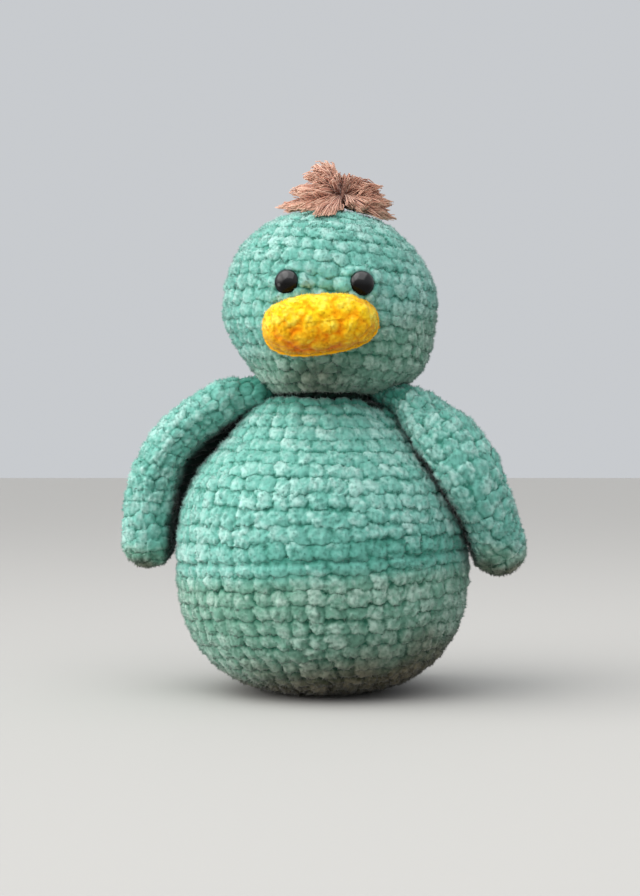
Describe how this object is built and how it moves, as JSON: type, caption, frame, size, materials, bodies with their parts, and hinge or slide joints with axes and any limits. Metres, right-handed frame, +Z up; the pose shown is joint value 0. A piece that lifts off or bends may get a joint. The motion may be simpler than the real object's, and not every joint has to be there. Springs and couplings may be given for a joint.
{
  "type": "crocheted duck",
  "caption": "Crocheted toy duck of thick chenille yarn: round body it stands on, squashed round head, flat bill, domed eyes, tuft of yarn ends and long sewn-on wings.",
  "frame": {"origin": "middle of the flat spot that the body stands on", "axes": "+Z up, the duck looks along -Y, +X is the duck's own left"},
  "size_m": [0.1906, 0.14, 0.2544],
  "materials": {
    "teal_chenille": "matte",
    "yellow_chenille": "matte",
    "white_fibre": "matte",
    "black_gloss_plastic": "gloss",
    "white_plastic": "satin",
    "brown_yarn": "matte"
  },
  "bodies": {
    "torso": {"body_cover": "teal_chenille", "body_stuffing": "white_fibre"},
    "neck_ring": {"neck_seam": "teal_chenille"},
    "neck_wad": {"neck_stuffing": "white_fibre"},
    "head": {"head_cover": "teal_chenille", "head_stuffing": "white_fibre", "bill_cover": "yellow_chenille", "bill_stuffing": "white_fibre", "bill_seam": "yellow_chenille", "eye_left": "black_gloss_plastic", "eye_right": "black_gloss_plastic", "eye_washer_left": "white_plastic", "eye_washer_right": "white_plastic", "tuft": "brown_yarn", "tuft_tie": "brown_yarn"},
    "wing_left_root": {"wing_left_seam": "teal_chenille"},
    "wing_left": {"wing_left_cover": "teal_chenille", "wing_left_stuffing": "white_fibre"},
    "wing_right_root": {"wing_right_seam": "teal_chenille"},
    "wing_right": {"wing_right_cover": "teal_chenille", "wing_right_stuffing": "white_fibre"}
  },
  "joints": [
    {"name": "head_turn", "type": "hinge", "parent": "torso", "child": "neck_ring", "pos_m": [0, 0, 0.1403], "axis": [0, 0, 1], "range_deg": [-15, 15], "stiffness_Nm_per_rad": 0.15},
    {"name": "head_nod", "type": "hinge", "parent": "neck_ring", "child": "neck_wad", "pos_m": [0, 0, 0.1403], "axis": [1, 0, 0], "range_deg": [-8, 5], "stiffness_Nm_per_rad": 0.3},
    {"name": "head_tilt", "type": "hinge", "parent": "neck_wad", "child": "head", "pos_m": [0, 0, 0.1403], "axis": [0, 1, 0], "range_deg": [-4, 2], "stiffness_Nm_per_rad": 0.3},
    {"name": "wing_left_swing", "type": "hinge", "parent": "torso", "child": "wing_left_root", "pos_m": [0.03645, -0.01045, 0.13665], "axis": [0.5339, -0.1531, 0.8316], "range_deg": [-12, 12], "stiffness_Nm_per_rad": 0.06},
    {"name": "wing_left_lift", "type": "hinge", "parent": "wing_left_root", "child": "wing_left", "pos_m": [0.03645, -0.01045, 0.13665], "axis": [-0.2756, -0.9613, 0], "range_deg": [0, 35], "stiffness_Nm_per_rad": 0.03},
    {"name": "wing_right_swing", "type": "hinge", "parent": "torso", "child": "wing_right_root", "pos_m": [-0.03587, -0.00125, 0.13882], "axis": [-0.5402, -0.0189, 0.8413], "range_deg": [-12, 12], "stiffness_Nm_per_rad": 0.06},
    {"name": "wing_right_lift", "type": "hinge", "parent": "wing_right_root", "child": "wing_right", "pos_m": [-0.03587, -0.00125, 0.13882], "axis": [-0.0349, 0.9994, 0], "range_deg": [0, 35], "stiffness_Nm_per_rad": 0.03}
  ]
}
